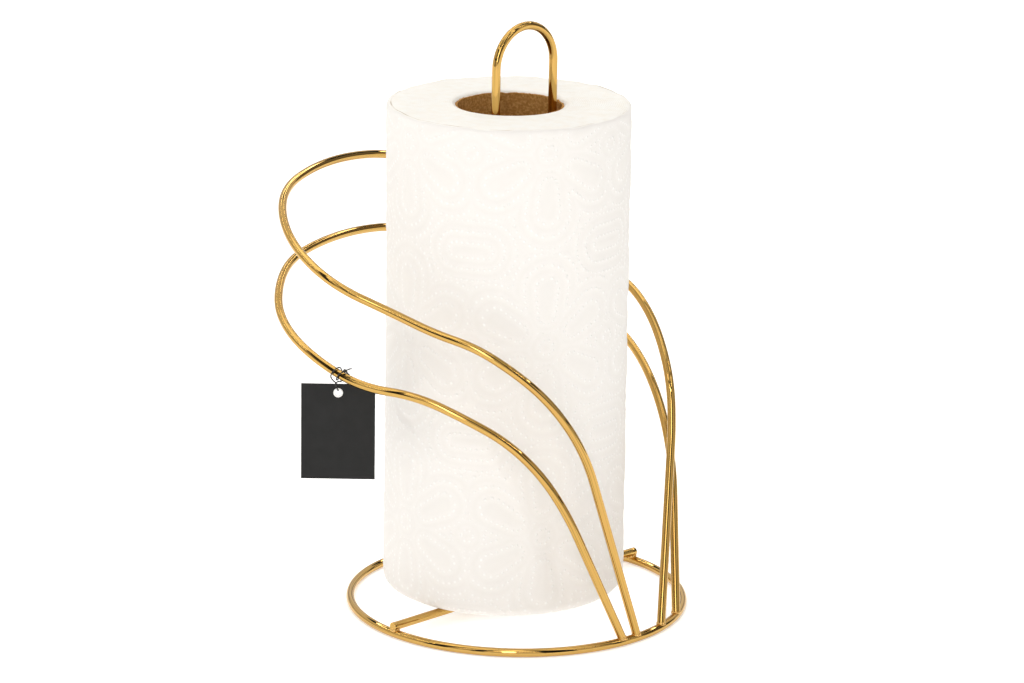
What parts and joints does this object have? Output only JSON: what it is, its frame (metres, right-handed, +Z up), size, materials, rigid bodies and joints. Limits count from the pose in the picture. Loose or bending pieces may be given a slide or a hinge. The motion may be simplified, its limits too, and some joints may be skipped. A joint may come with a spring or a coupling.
{
  "type": "paper towel holder",
  "caption": "Countertop paper towel holder bent from round wire: base ring, crossbar, tall post loop and two open guard arms round a lift-off roll, with a hang tag on a thread.",
  "frame": {"origin": "centre of the base ring on the surface that the holder stands on", "axes": "+Z up along the post; +Y along the crossbar and across the post loop; +X towards the feet of the two arms, whose closed ends lie on the -X side"},
  "size_m": [0.1921, 0.1881, 0.2772],
  "materials": {
    "gold_plated_wire": "polished",
    "weld": "gloss",
    "core_board": "matte",
    "towel_paper": "matte",
    "tag_board": "matte",
    "eyelet_enamel": "satin",
    "cotton_thread": "matte"
  },
  "bodies": {
    "frame": {"base_ring": "gold_plated_wire", "crossbar": "gold_plated_wire", "post_loop": "gold_plated_wire", "upper_arm": "gold_plated_wire", "lower_arm": "gold_plated_wire", "ring_seam_weld": "weld", "crossbar_front_weld": "weld", "crossbar_back_weld": "weld", "post_front_weld": "weld", "post_back_weld": "weld", "upper_arm_front_weld": "weld", "upper_arm_back_weld": "weld", "lower_arm_front_weld": "weld", "lower_arm_back_weld": "weld"},
    "core": {"roll_core": "core_board"},
    "paper": {"paper_roll": "towel_paper"},
    "tag": {"tag_card": "tag_board", "tag_eyelet": "eyelet_enamel", "tag_thread": "cotton_thread", "tag_knot": "cotton_thread"}
  },
  "joints": [
    {"name": "roll_lift", "type": "slide", "parent": "frame", "child": "core", "axis": [0, 0, 1], "range_m": [0, 0.29]},
    {"name": "roll_spin", "type": "hinge", "parent": "core", "child": "paper", "pos_m": [-0.00943, 0, 0.0079], "axis": [0, 0, 1], "continuous": true},
    {"name": "tag_swing", "type": "hinge", "parent": "frame", "child": "tag", "pos_m": [-0.02295, -0.09306, 0.124], "axis": [-0.9256, -0.1957, 0.3239], "range_deg": [-30, 75]}
  ]
}
